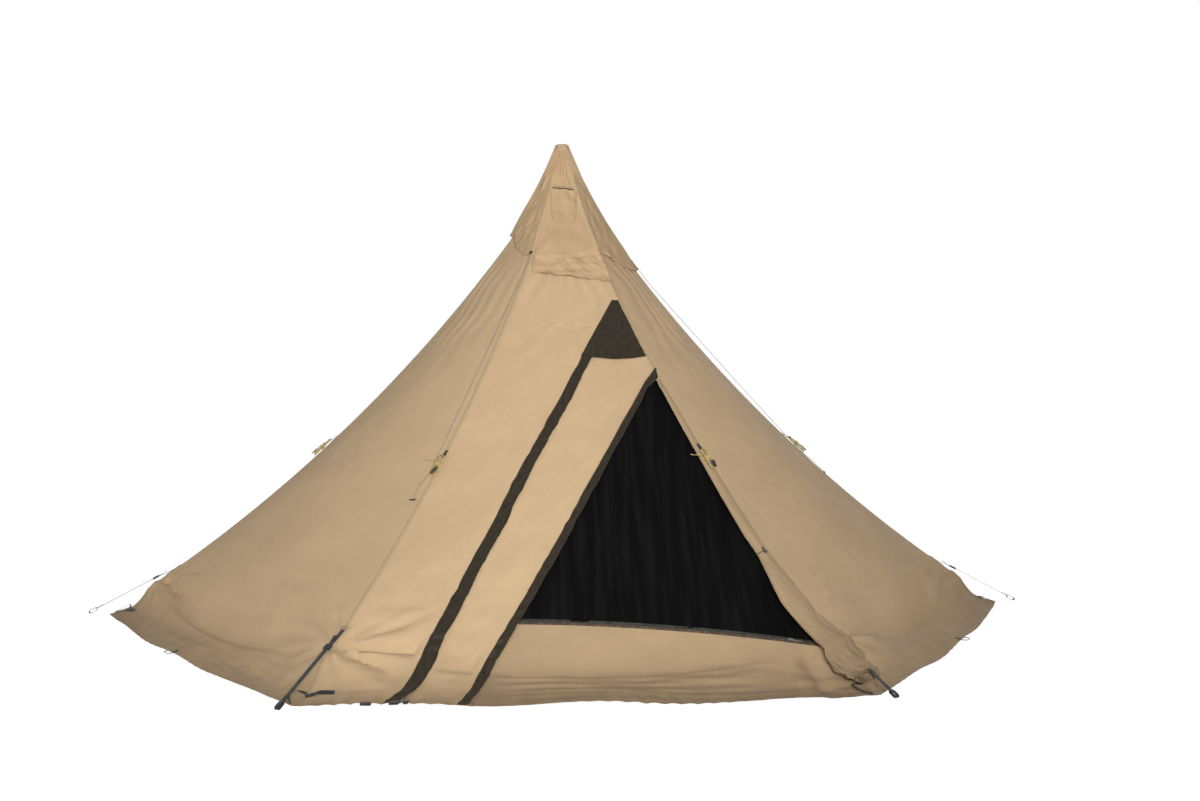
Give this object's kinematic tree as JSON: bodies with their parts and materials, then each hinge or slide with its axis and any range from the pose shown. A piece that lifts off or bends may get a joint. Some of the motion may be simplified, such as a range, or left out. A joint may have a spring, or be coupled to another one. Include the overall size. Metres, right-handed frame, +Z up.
{
  "type": "tipi tent",
  "caption": "Pitched hexagonal canvas tipi tent on a telescopic centre pole, with a zipped doorway, fly net, vent cap, ground skirt, peg straps and tied-up guy lines.",
  "frame": {"origin": "on the ground, at the middle of the underside of the pole's foot", "axes": "+Z up the centre pole; the doorway looks along -Y; +X to the right as one faces the doorway, through two opposite corners"},
  "size_m": [5.0108, 4.3494, 2.4985],
  "materials": {
    "canvas": "khaki cotton and polyester tent canvas, matt",
    "dark_nylon": "dark olive nylon, slight sheen",
    "zip": "black woven tape with a moulded coil",
    "zip_slider": "black enamel, satin",
    "net": "black fly net",
    "black_plastic": "moulded black nylon, satin",
    "pole_tube": "drawn and anodised, satin",
    "buckle": "black webbing tab with a moulded buckle",
    "webbing": "black woven polyester webbing",
    "guy_cord": "yellow and tan braided cord with black flecks",
    "grey_cord": "dark grey braided cord"
  },
  "bodies": {
    "root": {"wall_front": "canvas", "wall_front_band": "canvas", "door_sill": "canvas", "door_roll": "canvas", "wall_right_front": "canvas", "wall_right_back": "canvas", "wall_back": "canvas", "wall_left_back": "canvas", "wall_left_front": "canvas", "zip_flap_long": "dark_nylon", "zip_flap_door": "dark_nylon", "apex_patch": "dark_nylon", "zip_long": "zip", "zip_door": "zip", "zip_net": "zip", "vent_net": "net", "crown_plate": "black_plastic", "pole_top": "black_plastic", "pole_upper": "pole_tube", "corner_buckle_1": "buckle", "corner_buckle_2": "buckle", "corner_buckle_3": "buckle", "corner_buckle_4": "buckle", "corner_buckle_5": "buckle", "corner_buckle_6": "buckle", "guy_hank_1": "guy_cord", "guy_hank_2": "guy_cord", "guy_hank_3": "guy_cord", "guy_hank_4": "guy_cord", "guy_hank_5": "guy_cord", "guy_hank_6": "guy_cord", "cap_cord_1": "grey_cord", "cap_cord_2": "grey_cord", "cap_cord_3": "grey_cord", "cap_cord_toggle_1": "black_plastic", "cap_cord_toggle_2": "black_plastic", "cap_cord_toggle_3": "black_plastic", "door_tie": "webbing"},
    "pole_middle": {"pole_middle": "pole_tube", "clamp_high": "black_plastic"},
    "pole_lower": {"pole_lower": "pole_tube", "pole_foot": "black_plastic", "clamp_low": "black_plastic"},
    "clamp_lever_high": {"clamp_lever_high": "black_plastic"},
    "clamp_lever_low": {"clamp_lever_low": "black_plastic"},
    "vent_cap": {"vent_cap": "canvas", "apex_ring": "black_plastic"},
    "slider_long": {"slider_long": "zip_slider"},
    "slider_door": {"slider_door": "zip_slider"},
    "slider_net": {"slider_net": "zip_slider"},
    "door_net": {"door_net": "net"},
    "peg_strap_1": {"peg_strap_1": "webbing"},
    "peg_strap_2": {"peg_strap_2": "webbing"},
    "peg_strap_3": {"peg_strap_3": "webbing"},
    "peg_strap_4": {"peg_strap_4": "webbing"},
    "peg_strap_5": {"peg_strap_5": "webbing"},
    "peg_strap_6": {"peg_strap_6": "webbing"},
    "door_tie_toggle": {"door_tie_toggle": "black_plastic"}
  },
  "joints": [
    {"name": "pole_middle_slide", "type": "slide", "parent": "root", "child": "pole_middle", "axis": [0, 0, 1], "range_m": [0, 0.55]},
    {"name": "pole_lower_slide", "type": "slide", "parent": "pole_middle", "child": "pole_lower", "axis": [0, 0, 1], "range_m": [0, 0.65]},
    {"name": "lever_high_hinge", "type": "hinge", "parent": "pole_middle", "child": "clamp_lever_high", "pos_m": [0.0335, 0, 1.727], "axis": [0, -1, 0], "range_deg": [0, 110]},
    {"name": "lever_low_hinge", "type": "hinge", "parent": "pole_lower", "child": "clamp_lever_low", "pos_m": [0.0355, 0, 0.977], "axis": [0, -1, 0], "range_deg": [0, 110]},
    {"name": "vent_cap_lift", "type": "slide", "parent": "root", "child": "vent_cap", "axis": [0, 0, 1], "range_m": [0, 0.09]},
    {"name": "slider_long_run", "type": "slide", "parent": "root", "child": "slider_long", "axis": [0.4031, 0.6317, 0.6621], "range_m": [0, 2.005]},
    {"name": "slider_door_run", "type": "hinge", "parent": "root", "child": "slider_door", "pos_m": [-3.01374, 5.09439, -3.66442], "axis": [-0.8233, 0, 0.5677], "range_deg": [0, 11.7]},
    {"name": "slider_net_run", "type": "hinge", "parent": "root", "child": "slider_net", "pos_m": [-0.51431, -7.19132, -6.67936], "axis": [0.0012, -0.7897, 0.6135], "range_deg": [0, 7.2]},
    {"name": "door_net_swing", "type": "hinge", "parent": "root", "child": "door_net", "pos_m": [0.76008, -1.3087, 0.65963], "axis": [0.3814, -0.6607, -0.6465], "range_deg": [0, 14]},
    {"name": "peg_strap_1_slide", "type": "slide", "parent": "root", "child": "peg_strap_1", "axis": [-0.8858, 0, 0.464], "range_m": [0, 0.05]},
    {"name": "peg_strap_2_slide", "type": "slide", "parent": "root", "child": "peg_strap_2", "axis": [-0.4429, -0.7672, 0.464], "range_m": [0, 0.05]},
    {"name": "peg_strap_3_slide", "type": "slide", "parent": "root", "child": "peg_strap_3", "axis": [0.4429, -0.7672, 0.464], "range_m": [0, 0.05]},
    {"name": "peg_strap_4_slide", "type": "slide", "parent": "root", "child": "peg_strap_4", "axis": [0.8858, 0, 0.464], "range_m": [0, 0.05]},
    {"name": "peg_strap_5_slide", "type": "slide", "parent": "root", "child": "peg_strap_5", "axis": [0.4429, 0.7672, 0.464], "range_m": [0, 0.05]},
    {"name": "peg_strap_6_slide", "type": "slide", "parent": "root", "child": "peg_strap_6", "axis": [-0.4429, 0.7672, 0.464], "range_m": [0, 0.05]},
    {"name": "door_toggle_turn", "type": "hinge", "parent": "root", "child": "door_tie_toggle", "pos_m": [0.82007, -1.52094, 0.52786], "axis": [0.1603, -0.6209, 0.7673], "range_deg": [-40, 40]}
  ]
}
